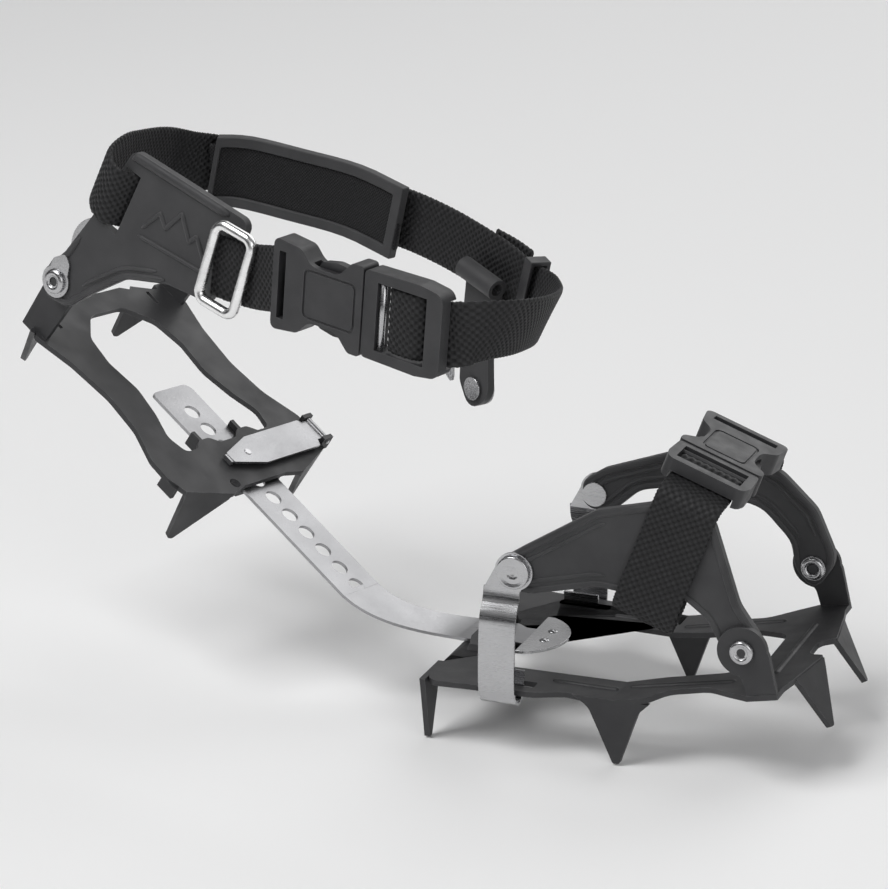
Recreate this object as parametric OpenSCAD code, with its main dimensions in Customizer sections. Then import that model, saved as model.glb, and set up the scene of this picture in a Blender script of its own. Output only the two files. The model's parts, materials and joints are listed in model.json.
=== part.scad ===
// Strap-on hiking crampon: a toe unit and a heel unit of pressed steel plate, joined by a
// perforated leaf-spring bar, with a rubber and webbing harness over the toe and round the ankle.
// Frame: +X to the toe, +Y to the outer side, +Z up. The origin lies on the toe frame's top
// face, midway between the two middle points. "near" pieces are on the -Y side, "far" on +Y.

/* [Steel] */
// Thickness of the frame plate
plate_t = 2.2; // [1.8:0.1:2.6]
// Depth of the middle points below the frame's top face
point_depth = 25.8; // [22:0.2:28]
// Half width across the middle points
point_half = 46.7; // [46:0.1:47]
// Upward tilt of the toe frame's front half
toe_spring = 11.6; // [10:0.2:13]

/* [Leaf spring bar] */
// Width of the bar
bar_w = 22; // [20:0.5:23]
// Thickness of the bar
bar_t = 1.3; // [1:0.1:1.5]
// Spacing of the adjustment holes
hole_pitch = 10; // [9:0.5:10]
// Radius of the adjustment holes
hole_r = 3.5; // [3.4:0.1:3.6]
// Number of adjustment holes
hole_count = 11; // [9:1:11]

/* [Heel unit] */
// Place of the heel frame's centre, on its top face
heel_pos = [-206, 11.5, 82];
// Roll, pitch and yaw of the raised heel frame
heel_rot = [-5, 32.5, -17];
// Depth of the heel points
heel_depth = 25.6; // [22:0.2:28]

/* [Harness] */
// Pitch and yaw of the ankle loop
ankle_rot = [0, 14, -17];
// Width of the webbing
web_w = 25; // [20:1:26]
// Thickness of the webbing
web_t = 1.8; // [1.4:0.1:2]
// Thickness of the rubber harness plates
rubber_t = 4; // [3:0.5:4]
// Radius of the rivet shanks
rivet_r = 3; // [2.5:0.1:3.2]

/* [Hidden] */
$fn = 48;

steel_black = [0.17, 0.17, 0.18];
rubber_black = [0.2, 0.2, 0.21];
web_black = [0.08, 0.08, 0.09];
stainless = [0.78, 0.78, 0.8];

fit = 0.05;            // running clearance of pins and shanks
gap = 0.3;             // air between pieces that move apart
fold_x = -1.9;         // where the toe frame folds upward
harness_y = 45.8;      // mid-plane of the toe harness plates
ear_y = harness_y + rubber_t / 2 + 0.2;   // inner face of the uprights and bracket ears
front_ear = [56, 17.3];                   // front rivet, along and above the tilted plate
rear_ear = [-40.7, 47];                   // rear rivet, x and z
bracket_t = 1;
pin_x = 41.2;          // where the latch pin meets the bar, along the heel frame
bar_top = -3.6;        // bar's upper face below the heel frame's top face
latch_y = 45.4;        // latch hinge, across and above the heel frame
latch_z = 2.1;
heel_rivet = [-44.5, 28.2];                 // near rivet, x and z in the heel frame
heel_side = 41;        // inner face of the heel uprights

// ---------- outline helpers ----------
function unit(v) = v / norm(v);
// Arc that rounds corner b between a and c, no larger than its two sides leave room for
function corner(a, b, c, wish, n = 5) =
    let (u = unit(a - b), v = unit(c - b), half = acos(max(-1, min(1, u * v))) / 2)
    wish == 0 || half > 88 ? [b] :
    let (r = min(wish, 0.46 * min(norm(a - b), norm(c - b)) * tan(half)),
         d = r / tan(half), m = b + unit(u + v) * r / sin(half),
         p = b + u * d - m, q = b + v * d - m,
         a0 = atan2(p[1], p[0]), da = atan2(p[0] * q[1] - p[1] * q[0], p * q))
    [for (i = [0:n]) m + r * [cos(a0 + da * i / n), sin(a0 + da * i / n)]];
// Closed outline from points given as x, y, corner radius
function rounded(pts) =
    let (n = len(pts))
    [for (i = [0:n - 1])
        let (p = pts[i], a = pts[(i + n - 1) % n], c = pts[(i + 1) % n])
        each corner([a[0], a[1]], [p[0], p[1]], [c[0], c[1]], p[2])];
// Outline mirrored about the x axis
function both(half) =
    concat(half, [for (i = [len(half) - 1:-1:0]) [half[i][0], -half[i][1], half[i][2]]]);
// Curve through every point, k steps between neighbours
function curve(p, k = 4) =
    let (n = len(p))
    [for (i = [0:n - 2], j = [0:k - 1])
        let (t = j / k, a = p[max(i - 1, 0)], b = p[i], c = p[i + 1], d = p[min(i + 2, n - 1)])
        0.5 * (2 * b + (c - a) * t + (2 * a - 5 * b + 4 * c - d) * t * t
               + (3 * b - a - 3 * c + d) * t * t * t), p[n - 1]];
function tangent(p, i) = unit(p[min(i + 1, len(p) - 1)] - p[max(i - 1, 0)]);
// Flat strip of thickness t along a 2-D path
function strip(p, t) =
    let (n = len(p), side = [for (i = [0:n - 1]) let (d = tangent(p, i)) [-d[1], d[0]] * t / 2])
    concat([for (i = [0:n - 1]) p[i] + side[i]], [for (i = [n - 1:-1:0]) p[i] - side[i]]);

// Ribbon swept along a 3-D path: w across, t thick, "across" the width direction at each point
module ribbon(path, across, w, t) {
    n = len(path);
    rings = [for (i = [0:n - 1])
        let (a = unit(across[i]), d = unit(cross(a, tangent(path, i))))
        each [path[i] + a * w / 2 + d * t / 2, path[i] - a * w / 2 + d * t / 2,
              path[i] - a * w / 2 - d * t / 2, path[i] + a * w / 2 - d * t / 2]];
    sides = [for (i = [0:n - 2], k = [0:3])
        let (a = 4 * i + k, b = 4 * i + (k + 1) % 4)
        each [[a, b, b + 4], [a, b + 4, a + 4]]];
    ends = [[0, 2, 1], [0, 3, 2], [4 * n - 4, 4 * n - 3, 4 * n - 2], [4 * n - 4, 4 * n - 2, 4 * n - 1]];
    polyhedron(rings, concat(sides, ends), convexity = 8);
}
// Plate of thickness t drawn in the x-z plane, from y to y + t
module wall(y, t) translate([0, y + t, 0]) rotate([90, 0, 0]) linear_extrude(t) children();
// Copies a piece to the near side (-1) or the far side (+1)
module side(s) if (s < 0) mirror([0, 1, 0]) children(); else children();

// ---------- places ----------
module front_half() translate([fold_x, 0, 0]) rotate([0, -toe_spring, 0]) children();
module in_heel() translate(heel_pos) rotate(heel_rot) children();
module in_ankle() translate(heel_pos) rotate(ankle_rot) children();
// Toe strap: x across the strap, y over the foot, z away from the foot
module in_toe_strap() translate([26, 0, 80]) rotate([0, 20, 0]) children();

// ---------- toe frame ----------
toe_rear = both([[-75, 53, 5], [-57, 51.5, 0], [-32, 50.5, 5], [-21, 45.5, 8], [-13, point_half, 4],
                 [fold_x, point_half, 0]]);
toe_rear_window = both([[-59, 13, 2], [-53, 16, 2], [-53, 29, 6], [fold_x + 1, 27.5, 0]]);
toe_front = both([[-0.6, point_half, 0], [13.6, point_half, 3], [20, 38.5, 8], [36, 38, 10], [46, 45, 5],
                  [54.5, 50.4, 1], [66.5, 50.4, 1], [66.5, 42, 5], [68.5, 33, 0], [72.5, 9, 1],
                  [66, 7, 4]]);
toe_front_window = both([[-1.6, 27.5, 0], [15, 24.5, 10], [38, 23.5, 8], [51, 17, 7]]);
slot = [[-54.5, 40.5, 1], [-54.5, 45.7, 1], [-33.5, 45.7, 1], [-33.5, 40.5, 1]];

// Raised bead pressed into a plate's top face, from a to b
module bead(a, b, r = 1.4) {
    v = b - a;
    translate([a[0], a[1], -0.6]) rotate([0, 90, atan2(v[1], v[0])]) {
        cylinder(r = r, h = norm(v));
        sphere(r);
        translate([0, 0, norm(v)]) sphere(r);
    }
}

module toe_frame() color(steel_black) difference() {
    union() {
        translate([0, 0, -plate_t]) linear_extrude(plate_t) difference() {
            polygon(rounded(toe_rear));
            polygon(rounded(toe_rear_window));
        }
        front_half() translate([0, 0, -plate_t]) linear_extrude(plate_t) difference() {
            polygon(rounded(toe_front));
            polygon(rounded(toe_front_window));
        }
        // wedge that closes the underside of the fold
        for (s = [-1, 1]) side(s) wall(27.6, point_half - 27.7) translate([fold_x, 0]) polygon(
            [[-2, -0.8], [-2, -plate_t + 0.05], [0, -plate_t + 0.05], [2, -plate_t + 0.45], [2, -0.5]]);
        for (s = [-1, 1]) side(s) {
            // middle, rear and front points
            wall(point_half - plate_t, plate_t) polygon(rounded(
                [[-18, 0, 0], [-11.5, -4, 8], [-1.3, -point_depth, 1.2], [1.3, -point_depth, 1.2],
                 [8.6, -4, 5], [12.6, 0, 0]]));
            translate([-75, 43, -plate_t / 2]) rotate([0, 0, 90]) translate([0, 0, plate_t / 2])
                wall(0, plate_t) translate([3.5, 0]) polygon(rounded(
                    [[-13.5, 0, 0], [-9, -4, 6], [-1.2, -26, 1.2], [1.2, -26, 1.2], [5.5, -4, 5], [6.5, 0, 0]]));
            front_half() translate([70.5, 21, 0]) rotate([0, -16, 9.5]) rotate([0, 0, 90])
                wall(0, plate_t) polygon(rounded(
                    [[-12, -0.9, 0], [-10.5, -4, 5], [0.8, -24, 1.2], [3.2, -24, 1.2], [10.5, -4, 5], [12, -0.9, 0]]));
            // upright ear
            front_half() wall(ear_y, plate_t) {
                polygon(rounded([[55, -plate_t, 0], [66.5, -plate_t, 0], [66, 17, 6], [55, 25, 3], [47, 17, 4], [54, 7, 6]]));
                translate(front_ear) circle(9.7);
            }
            // stiffening beads
            bead([-28, 36], [fold_x - 2, 36]);
            front_half() bead([4, 33], [44, 33]);
        }
        front_half() bead([59, -26], [59, 26]);
        // bridge that holds the bar down
        translate([-71, 0, 0]) rotate([90, 0, 90]) linear_extrude(9) polygon(
            strip([[-19, -1], [-15, 0.5], [-13.5, 3], [13.5, 3], [15, 0.5], [19, -1]], 1.8));
    }
    // bracket slots, clear of the hooked strips
    for (s = [-1, 1]) side(s) translate([0, 0, -plate_t - 1]) linear_extrude(plate_t + 2)
        polygon(rounded(slot));
    // rivet holes
    for (s = [-1, 1]) side(s) front_half() translate([front_ear[0], ear_y - 1, front_ear[1]])
        rotate([-90, 0, 0]) cylinder(r = rivet_r + fit, h = plate_t + 2);
}

// ---------- toe harness ----------
bracket_path = [[48.5, 40], [49.6, 35], [52.6, 30], [53.7, 24], [54.2, 12], [54, 2], [52.4, -4],
                [48.5, -6.2], [44.8, -4], [43.2, 0], [42.4, 5]];
module toe_bracket(s) color(stainless) side(s) difference() {
    union() {
        translate([rear_ear[0] - 4.8, 0, 0]) rotate([90, 0, 90]) translate([0, 0, -7.2])
            linear_extrude(14.4) polygon(strip(curve(bracket_path), bracket_t));
        wall(ear_y, bracket_t) {
            translate(rear_ear) circle(7.5);
            polygon([[rear_ear[0] - 12, 39], [rear_ear[0] + 2.4, 39], [rear_ear[0] + 7.4, 46.4],
                     [rear_ear[0] - 7.4, 48]]);
        }
    }
    translate([rear_ear[0], ear_y - 1, rear_ear[1]]) rotate([-90, 0, 0])
        cylinder(r = rivet_r + fit, h = bracket_t + 2);
}
module toe_bracket_near() toe_bracket(-1);
module toe_bracket_far() toe_bracket(1);

// Rivet along +y: shank from y0 to y1, inner head outside y0, cupped head outside y1
module rivet(y0, y1, head) {
    translate([0, y0 - 0.1, 0]) rotate([-90, 0, 0]) cylinder(r = rivet_r, h = y1 - y0 + 0.2);
    translate([0, y0 - 1.1, 0]) rotate([-90, 0, 0]) cylinder(r = 5, h = 1);
    difference() {
        translate([0, y1 + 0.1, 0]) rotate([-90, 0, 0]) cylinder(r = head, h = 1.5);
        translate([0, y1 + 1.7 + head, 0]) sphere(head + 0.7);
    }
}
module toe_rear_rivet(s) color(stainless) side(s) translate([rear_ear[0], 0, rear_ear[1]])
    rivet(harness_y - rubber_t / 2, ear_y + bracket_t, 6);
module toe_rear_rivet_near() toe_rear_rivet(-1);
module toe_rear_rivet_far() toe_rear_rivet(1);
module toe_front_rivets() color(stainless) for (s = [-1, 1]) side(s) front_half()
    translate([front_ear[0], 0, front_ear[1]]) rivet(harness_y - rubber_t / 2, ear_y + plate_t, 4.4);

front_rivet_x = fold_x + front_ear[0] * cos(toe_spring) - front_ear[1] * sin(toe_spring);
front_rivet_z = front_ear[0] * sin(toe_spring) + front_ear[1] * cos(toe_spring);
near_plate = [[-47.5, 50, 5], [-38, 56.5, 8], [-9, 75, 12], [8, 79.5, 8], [22, 83, 8], [36.5, 76.5, 6],
              [47, 45, 10], [58, 30, 8], [50, 18, 8], [41.5, 26, 8], [35, 38, 8], [24, 46, 8],
              [8, 43.5, 10], [-8, 45, 14], [-34, 38.5, 6], [-46, 39.5, 6]];
far_plate = [[-46, 52, 5], [-37, 58, 8], [-10, 68, 12], [20, 72, 10], [36, 65, 12], [50, 52, 14],
             [59, 32, 10], [50, 18, 8], [42, 27, 8], [40, 38, 10], [28, 50, 12], [0, 56, 16],
             [-22, 51, 12], [-34, 40, 6], [-46, 41, 6]];
module harness_plate(s, outline) color(rubber_black) side(s) difference() {
    wall(harness_y - rubber_t / 2, rubber_t) polygon(rounded(outline));
    for (p = [rear_ear, [front_rivet_x, front_rivet_z]])
        translate([p[0], 0, p[1]]) rotate([-90, 0, 0]) cylinder(r = rivet_r + fit, h = 60);
}
module toe_harness_near() harness_plate(-1, near_plate);
module toe_harness_far() harness_plate(1, far_plate);

// Strap path in the toe strap's own frame, as y, z
near_web = [[-42.4, -20], [-41.8, -42], [-45.8, -48.6], [-49.8, -42], [-49.2, -20], [-49.1, -4],
            [-49, 1.4], [-46.6, 4.2], [-43, 5], [-40, 5.4], [-36, 5.8], [-33.6, 7.2], [-31.4, 9.8],
            [-29, 10.6], [-27.9, 9.2]];
far_web = [[16.4, 7], [24, 5], [33, 0], [40, -3.6], [46.4, -7], [49.2, -12.5], [49.2, -26]];
module strap(path) translate([-web_w / 2, 0, 0]) rotate([90, 0, 90]) linear_extrude(web_w)
    polygon(strip(curve(path), web_t));
module toe_webbing_near() color(web_black) in_toe_strap() strap(near_web);
module toe_webbing_far() color(web_black) in_toe_strap() strap(far_web);

// ---------- side-release buckle, male along +x, webbing across y, outer face at +z ----------
function window_end(len) = -0.17 * len;
// Male: frame from -len to 0 with one window and a bar across it, guide and two sprung arms
module buckle_male(len, w, t, reach) {
    difference() {
        translate([0, 0, -t / 2]) linear_extrude(t) polygon(rounded(
            both([[0, w / 2 - 0.6, 2], [-len * 0.7, w / 2, 8], [-len, w / 2 - 1.6, 4]])));
        translate([-0.8 * len, -web_w / 2 - 0.6, -t]) cube([0.8 * len + window_end(len), web_w + 1.2, 2 * t]);
        // room for the webbing under the end rail
        translate([-len - 1, -web_w / 2 - 0.6, -t]) cube([0.2 * len + 2, web_w + 1.2, t - 1]);
    }
    translate([window_end(len) - 1.6, -w / 2 + 2, 2]) rotate([-90, 0, 0]) cylinder(r = 1.1, h = w - 4);
    translate([-1, -3.2, -1.6]) cube([reach + 1, 6.4, 3.2]);
    for (s = [-1, 1]) side(s) translate([0, 0, -1.6]) linear_extrude(3.2) polygon(rounded(
        [[-1, 7, 0], [-1, 10.5, 0], [reach * 0.3, w / 2 - 4, 3], [reach * 0.62, w / 2 - 3.2, 5],
         [reach * 0.92, w / 2 - 4.6, 3], [reach, w / 2 - 8, 1.5], [reach - 2, w / 2 - 9.5, 1], [reach * 0.45, 8, 3]]));
}
// Female: hollow receiver from 0.4 to len, waisted where the arms' release pads show
module buckle_female(len, w, t, reach) {
    waist = w / 2 - 6.5;
    difference() {
        translate([0, 0, -t / 2]) linear_extrude(t) polygon(rounded(
            both([[0.4, w / 2, 1.5], [reach * 0.24, w / 2, 3], [reach * 0.5, waist, 6], [reach + 1, waist, 6],
                  [reach + 6, w / 2 - 1, 4], [len, w / 2 + 0.5, 2.5]])));
        translate([-1, -w / 2 + 2.4, -2.1]) cube([reach + 2.5, w - 4.8, 4.2]);
        translate([len - 6, -web_w / 2 - 0.6, -t]) cube([3.2, web_w + 1.2, 2 * t]);
        translate([len - 3, -web_w / 2 - 0.6, -t]) cube([4, web_w + 1.2, t - 1]);
        // groove round the raised tile
        translate([0, 0, t / 2 - 0.6]) linear_extrude(2) difference() {
            polygon(rounded(both([[3.4, waist - 1.4, 2.5], [reach + 4, waist - 1.4, 2.5]])));
            polygon(rounded(both([[4.3, waist - 2.3, 2], [reach + 3.1, waist - 2.3, 2]])));
        }
    }
}
module in_toe_buckle() in_toe_strap() translate([0, -20.5, 8.3]) rotate([0, 0, 90]) children();
module toe_buckle_male() color(rubber_black) in_toe_buckle() buckle_male(18, 34, 8, 19);
module toe_buckle_female() color(rubber_black) in_toe_buckle() buckle_female(36, 34, 9, 19);

// ---------- leaf spring bar ----------
bar_root = [-75, 0, 0.75];     // mid-thickness, where the bar leaves the toe frame
bar_bend = 112;                // where the straight part ends, along the heel frame
bar_end = pin_x - 4.4 * hole_pitch;
function rot_zyx(v) =
    let (a = heel_rot[0], b = heel_rot[1], c = heel_rot[2],
         p = [v[0], v[1] * cos(a) - v[2] * sin(a), v[1] * sin(a) + v[2] * cos(a)],
         q = [p[0] * cos(b) + p[2] * sin(b), p[1], -p[0] * sin(b) + p[2] * cos(b)])
    [q[0] * cos(c) - q[1] * sin(c), q[0] * sin(c) + q[1] * cos(c), q[2]];
bend_at = heel_pos + rot_zyx([bar_bend, 0, bar_top - bar_t / 2]);
bend_dir = rot_zyx([1, 0, 0]);
bend_across = rot_zyx([0, 1, 0]);
// Cubic from the toe frame to the straight part
function bar_curve(n) = [for (i = [0:n])
    let (t = i / n, a = bend_at, b = bar_root, k = 50)
    a * (2 * t * t * t - 3 * t * t + 1) + bend_dir * k * (t * t * t - 2 * t * t + t)
    + b * (3 * t * t - 2 * t * t * t) + [1, 0, 0] * k * (t * t * t - t * t)];
module leaf_spring_bar() color(stainless) {
    in_heel() translate([0, 0, bar_top - bar_t]) linear_extrude(bar_t) difference() {
        polygon(rounded([[bar_end, -bar_w / 2, 2], [bar_bend + 2, -bar_w / 2, 0],
                         [bar_bend + 2, bar_w / 2, 0], [bar_end, bar_w / 2, 4]]));
        for (i = [0:hole_count - 1]) translate([pin_x + (i - 3) * hole_pitch, 0]) circle(hole_r);
    }
    n = 28;
    ribbon(bar_curve(n), [for (i = [0:n]) bend_across * (1 - i / n) + [0, 1, 0] * (i / n)],
           bar_w - 0.1, bar_t - 0.1);
    translate([bar_root[0] - 2, 0, bar_root[2] - bar_t / 2]) linear_extrude(bar_t) polygon(rounded(
        both([[0, bar_w / 2, 0], [17, bar_w / 2, 3], [21, 8, 2], [36, 8, 2]])));
}
// Half-moon stop riveted to the bar's end
module bar_stop_plate() color(stainless) translate([0, 0, bar_root[2] + bar_t / 2 + 0.02])
    linear_extrude(1.2) difference() {
        intersection() {
            translate([-57, 0]) circle(21);
            polygon([[-51, -19], [-30, -19], [-30, 19], [-51, 19]]);
        }
        for (y = [-5, 5]) translate([-44, y]) circle(1.6 + fit);
    }
module bar_stop_rivets() color(stainless) for (y = [-5, 5])
    translate([-44, y, bar_root[2] + bar_t / 2 + 0.04]) {
        cylinder(r = 1.6, h = 1.2);
        translate([0, 0, 1.2]) intersection() {
            translate([0, 0, -2.2]) sphere(3);
            cylinder(r = 4, h = 4);
        }
    }

// ---------- heel frame ----------
heel_outline = both([[-55, 18, 3], [-52.5, 23, 0], [-43, 46, 3], [-24, 40.5, 20], [-4, 38, 25], [14, 40, 20],
                     [30, 46.5, 10], [40, 47, 4], [48.5, 44, 0], [56, 22, 2], [54, 13, 3]]);
heel_window = both([[-45, 10, 8], [-34, 20.5, 8], [-20, 23, 12], [-4, 21, 16], [10, 24, 16], [22, 28.5, 8],
                    [31, 26, 3], [31, 19, 2], [27.5, 15, 3], [27.5, 9, 3], [31, 5, 2]]);
module heel_frame() color(steel_black) in_heel() difference() {
    union() {
        translate([0, 0, -plate_t]) linear_extrude(plate_t) difference() {
            polygon(rounded(heel_outline));
            polygon(rounded(heel_window));
        }
        for (s = [-1, 1]) side(s) {
            // front and rear points, turned at the corners
            translate([52.2, 33, 0]) rotate([0, 0, 109]) wall(-0.2, plate_t) polygon(rounded(
                [[-11.6, 0, 0], [-10.5, -3.5, 4], [4.8, -heel_depth, 1.2], [7.2, -heel_depth, 1.2], [10.5, -4, 5], [11.6, 0, 0]]));
            translate([-47.7, 34.5, 0]) rotate([0, 0, 68]) wall(0, plate_t) polygon(rounded(
                [[-12.3, 0, 0], [-11, -3.5, 4], [-8.6, -heel_depth, 1.2], [-6.2, -heel_depth, 1.2], [9, -4, 5], [12, 0, 0]]));
            // uprights
            wall(heel_side, plate_t) {
                polygon(rounded([[-52, -1, 0], [-39, -1, 0], [-36.6, heel_rivet[1], 3], [-44, 35, 3],
                                 [-52.3, heel_rivet[1], 3]]));
                translate(heel_rivet) circle(8);
            }
            translate([-52, heel_side - 4, -plate_t]) cube([13, 4 + plate_t, plate_t]);
            // lugs that carry the bar
            for (x = [22, 44]) translate([x, bar_w / 2 + 0.4, bar_top - bar_t - 2.4]) {
                cube([9, 1.8, -bar_top + bar_t + 2.4 - plate_t / 2]);
                translate([0, -4, 0]) cube([9, 5, 1.8]);
            }
        }
        // two cheeks of the latch hinge at the far edge
        for (x = [pin_x - 8, pin_x + 4.6]) translate([x, 42.5, -plate_t]) cube([1.8, 5.6, 6.4]);
        // small flange folded down at the near edge
        translate([37.5, -47, -6]) cube([8, 2, 5]);
    }
    // holes for the latch pin, the sight hole and the upright slots
    translate([pin_x, 0, -5]) cylinder(r = hole_r + 0.1, h = 10);
    translate([51.6, -17, -5]) cylinder(r = 2.4, h = 10);
    for (s = [-1, 1]) side(s) {
        translate([-49.5, 29, -5]) cube([7, 1.8, 10]);
        translate([heel_rivet[0], heel_side - 1, heel_rivet[1]]) rotate([-90, 0, 0])
            cylinder(r = rivet_r + fit, h = plate_t + 2);
    }
    // bore of the latch hinge
    translate([pin_x - 12, latch_y, latch_z]) rotate([0, 90, 0]) cylinder(r = 1.05, h = 24);
}
// Spring latch: plate over the crossbar, hinged at the far edge, its hooked tip in a slot
module bar_latch() color(stainless) in_heel() difference() {
    union() {
        translate([pin_x, 0, 1.6]) linear_extrude(1.1) polygon(rounded(
            [[-5.9, 45, 0], [-5.9, 41, 0], [-7.4, 39.5, 1], [-7.4, 5, 1], [-2.6, -11, 1], [2.6, -11, 1],
             [7.4, 5, 1], [7.4, 39.5, 1], [4.3, 41, 0], [4.3, 45, 0]]));
        translate([pin_x - 5.9, latch_y, latch_z]) rotate([0, 90, 0]) cylinder(r = 1.7, h = 10.2);
        translate([pin_x - 2.2, -12.2, 0.4]) cube([4.4, 1.6, 2]);
    }
    translate([pin_x - 12, latch_y, latch_z]) rotate([0, 90, 0]) cylinder(r = 1 + fit, h = 24);
    translate([pin_x, 0, 1]) cylinder(r = 1.5, h = 3);
}
// Hinge wire of the latch
module latch_hinge_wire() color(stainless) in_heel() translate([pin_x - 8.6, latch_y, latch_z])
    rotate([0, 90, 0]) cylinder(r = 1, h = 15.6);
// Pin of the latch, riveted into its plate
module latch_pin() color(stainless) in_heel() {
    translate([pin_x, 0, bar_top - bar_t]) cylinder(r = hole_r - 0.3, h = -bar_top + bar_t + 1.55);
    translate([pin_x, 0, 1]) cylinder(r = 1.5, h = 2);
}

// ---------- ankle harness ----------
ankle_tilt = heel_rot[1] - ankle_rot[1];
rivet_at = [-31.9, 44.8];          // near heel rivet in the ankle frame, x and z
panel_t = 3.5;
panel_in = heel_side + plate_t + 2.4;      // inner face of the near panel
// Frame of the near panel: parallel to the heel's side, pitched like the ankle loop
module in_panel() in_heel() translate([heel_rivet[0], 0, heel_rivet[1]]) rotate([0, -ankle_tilt, 0])
    translate([-rivet_at[0], 0, -rivet_at[1]]) side(-1) children();

// Middle lines of the ankle webbing in the ankle frame: x, y, z and how far its top leans to +x
back_line = [[-7, -35.8, 87.6, 12], [-8.5, -39.2, 88.2, 12], [-12.2, -43.9, 89, 12],
             [-16, -45.2, 90, 13], [-21, -43.2, 91.4, 13], [-26.4, -37, 92.2, 12], [-31, -24, 91, 6],
             [-36, -8, 86.5, 0], [-42, 14, 80.5, 0], [-45, 34, 73.5, 0], [-36, 48.5, 72, 0],
             [-15, 54.5, 73.5, 0], [0, 56, 75.5, 0], [45, 57, 83.5, 0], [72, 55.2, 86.6, 0],
             [98, 50.4, 88.2, 0], [112, 47.2, 88.4, 0], [124.7, 43.6, 87.6, 0]];
front_line = [[125.6, 43.2, 87.7, 0], [133, 38.5, 89.8, 6], [141, 31, 92.8, 12], [151, 18, 97, 14],
              [158.5, 2, 102.2, 14], [163.5, -15, 107, 11], [164.6, -30, 110.2, 6], [161, -42, 110.4, -2],
              [154.2, -47, 107.7, -9], [149, -47.1, 106.8, -9], [145.6, -48, 106.3, -9],
              [142.6, -50.6, 105.8, -9], [139, -51.7, 105.2, -9], [132.6, -51.7, 104.2, -9],
              [129, -50.2, 103.6, -9]];
pad_line = [[-36, 42.6, 70.5, 0], [-24, 48.6, 73.6, 0], [0, 52, 77.6, 0], [28, 53, 82.6, 0],
            [54, 50.6, 84.6, 0]];
tail_line = [[98, 54.6, 88, 0], [106, 53.2, 88.6, 0], [113, 51, 89.2, 0], [119, 48.8, 89.6, 0]];
function spine(path) = [for (p = path) [p[0], p[1], p[2]]];
function leaning(path) = [for (p = path) [sin(p[3]), 0, cos(p[3])]];
module ankle_strap(line, w = web_w, t = web_t) {
    path = curve(line, 4);
    ribbon(spine(path), leaning(path), w, t);
}
module ankle_webbing_back() color(web_black) in_ankle() ankle_strap(back_line);
module ankle_webbing_front() color(web_black) in_ankle() ankle_strap(front_line);
module webbing_tail() color(web_black) in_ankle() ankle_strap(tail_line);
// The pad's middle stretch, for its window and insert
module pad_window(w, t) {
    path = curve(pad_line, 4);
    ribbon(spine([for (i = [1:len(path) - 2]) path[i]]), leaning([for (i = [1:len(path) - 2]) path[i]]), w, t);
}
module heel_pad_frame() color(rubber_black) in_ankle() difference() {
    ankle_strap(pad_line, 31, 4);
    pad_window(22, 6);
}
module heel_pad_insert() color(web_black) in_ankle() pad_window(21.4, 2.4);

panel = [[-40, 45, 7], [-31, 58, 6], [-22, 77, 10], [-9.5, 109.5, 4], [50, 104.5, 4], [46, 86, 10],
         [40, 67, 3], [20, 66, 12], [0, 59.5, 16], [-14, 47, 8], [-24, 36.5, 7], [-36, 36.5, 6]];
module heel_panel_near() color(rubber_black) in_panel() difference() {
    wall(panel_in, panel_t) polygon(rounded(panel));
    // webbing slot, ring slot and rivet hole
    translate([-14, panel_in - 1, 89]) rotate([0, 12, 0]) translate([0, 0, -web_w / 2 - 0.8])
        cube([7.6, panel_t + 2, web_w + 1.6]);
    translate([rivet_at[0], panel_in - 1, rivet_at[1]]) rotate([-90, 0, 0])
        cylinder(r = rivet_r + fit, h = panel_t + 2);
}
// Places along the near rivet, measured outward in the heel frame
module on_rivet() in_heel() translate([heel_rivet[0], 0, heel_rivet[1]]) side(-1) children();
module ring_of(y, r, t) translate([0, y, 0]) rotate([-90, 0, 0]) difference() {
    cylinder(r = r, h = t);
    translate([0, 0, -1]) cylinder(r = rivet_r + fit, h = t + 2);
}
module heel_washers() color(rubber_black) on_rivet() {
    ring_of(heel_side + plate_t + 0.15, 7.6, 1.4);
    ring_of(heel_side - 1.5, 7.6, 1.3);
}
// Stainless tongue outside the panel's ear
module heel_stop_link() color(stainless) on_rivet() rotate([0, -ankle_tilt, 0])
    wall(panel_in + panel_t + 0.15, 1) difference() {
        union() {
            circle(6.6);
            polygon(rounded([[-5.5, -1, 0], [-5, 4, 3], [-3, 9, 3], [2, 12.6, 2], [5, 9, 3], [5.5, -1, 0]]));
        }
        circle(rivet_r + fit);
    }
// Thin domed side plate behind the panel's ear
module heel_side_plate() color(stainless) on_rivet() rotate([0, -ankle_tilt, 0])
    wall(panel_in - 0.85, 0.7) difference() {
        union() {
            circle(8);
            translate([13, 17.5]) circle(13.2);
        }
        circle(rivet_r + fit);
    }
module heel_rivet_near() color(stainless) on_rivet() difference() {
    union() {
        translate([0, heel_side - 2.8, 0]) rotate([-90, 0, 0])
            cylinder(r = rivet_r, h = 3 + panel_in + panel_t + 1.3 - heel_side);
        translate([0, heel_side - 2.8, 0]) rotate([-90, 0, 0]) cylinder(r = 5, h = 1.2);
        translate([0, panel_in + panel_t + 1.2, 0]) rotate([-90, 0, 0]) cylinder(r = 4.6, h = 1.2);
    }
    translate([0, heel_side - 4, 0]) rotate([-90, 0, 0]) cylinder(r = 1.8, h = 16);
}

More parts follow.
